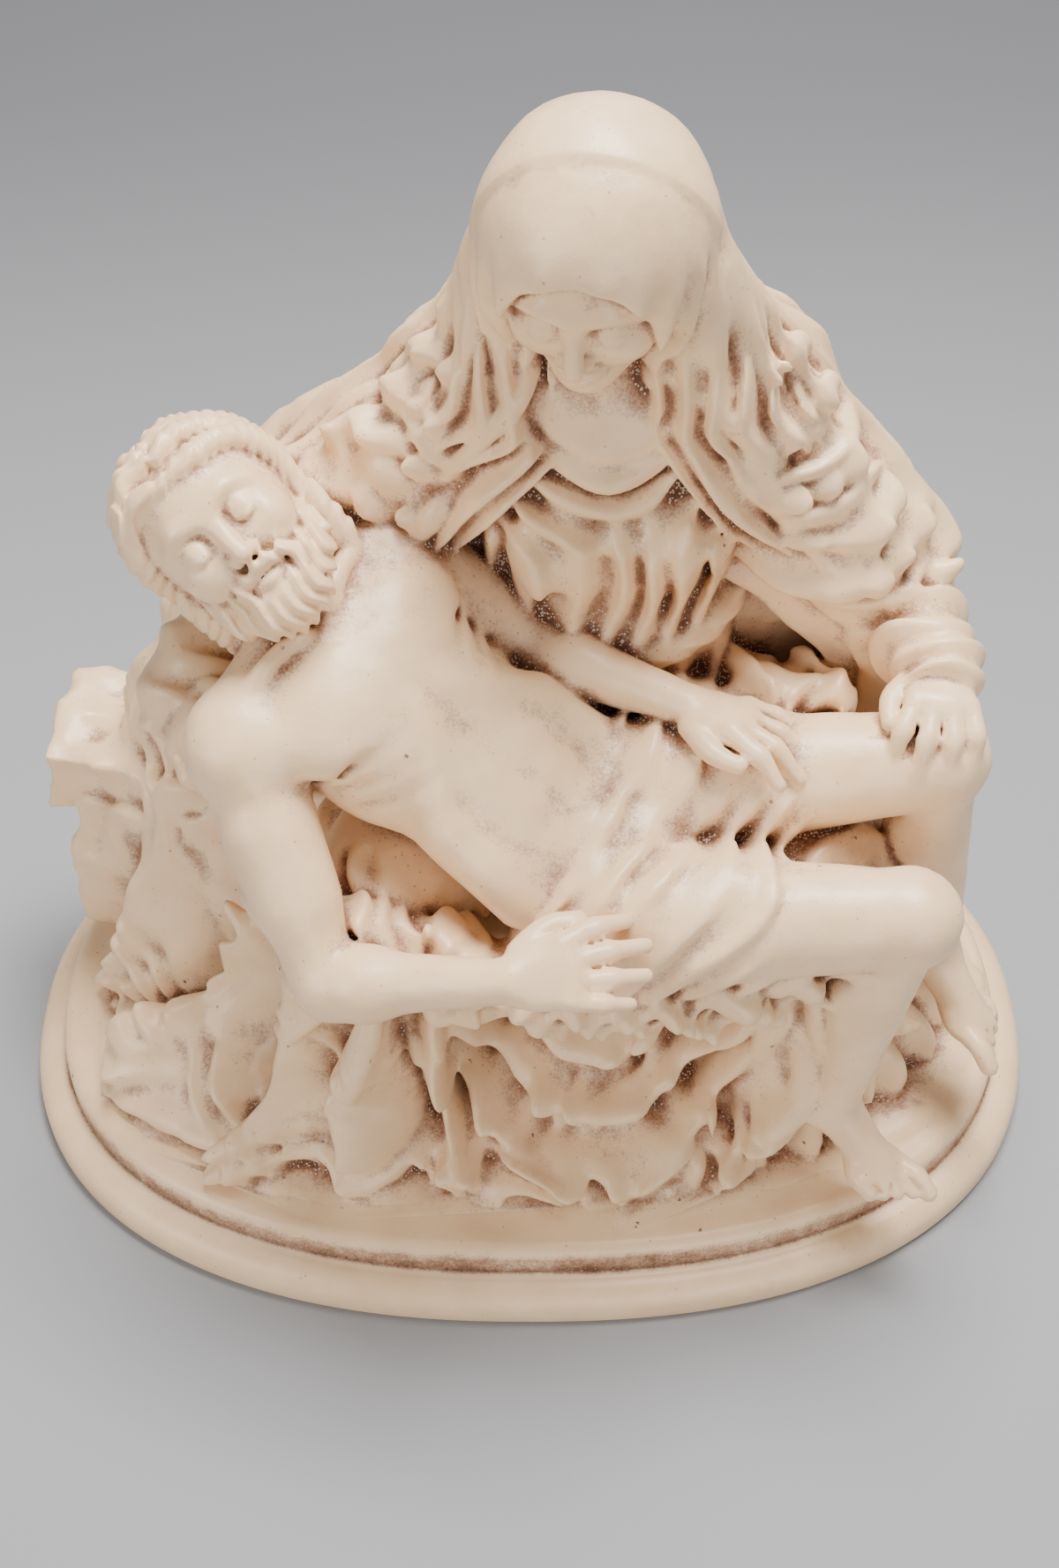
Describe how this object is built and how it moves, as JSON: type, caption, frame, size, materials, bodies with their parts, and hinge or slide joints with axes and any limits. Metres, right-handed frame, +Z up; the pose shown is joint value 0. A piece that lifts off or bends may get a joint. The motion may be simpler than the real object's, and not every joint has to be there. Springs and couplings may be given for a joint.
{
  "type": "pieta statue",
  "caption": "Small pieta statuette cast in marble resin: a seated veiled woman holds a dead man across her lap, on an oval stepped plinth.",
  "frame": {"origin": "centre of the plinth's underside, where the statuette stands", "axes": "+Z up, -Y towards the front, +X towards the viewer's right seen from the front"},
  "size_m": [0.122, 0.082, 0.125],
  "materials": {
    "marble_resin": "satin"
  },
  "bodies": {
    "root": {"pieta_statue": "marble_resin"}
  },
  "joints": []
}
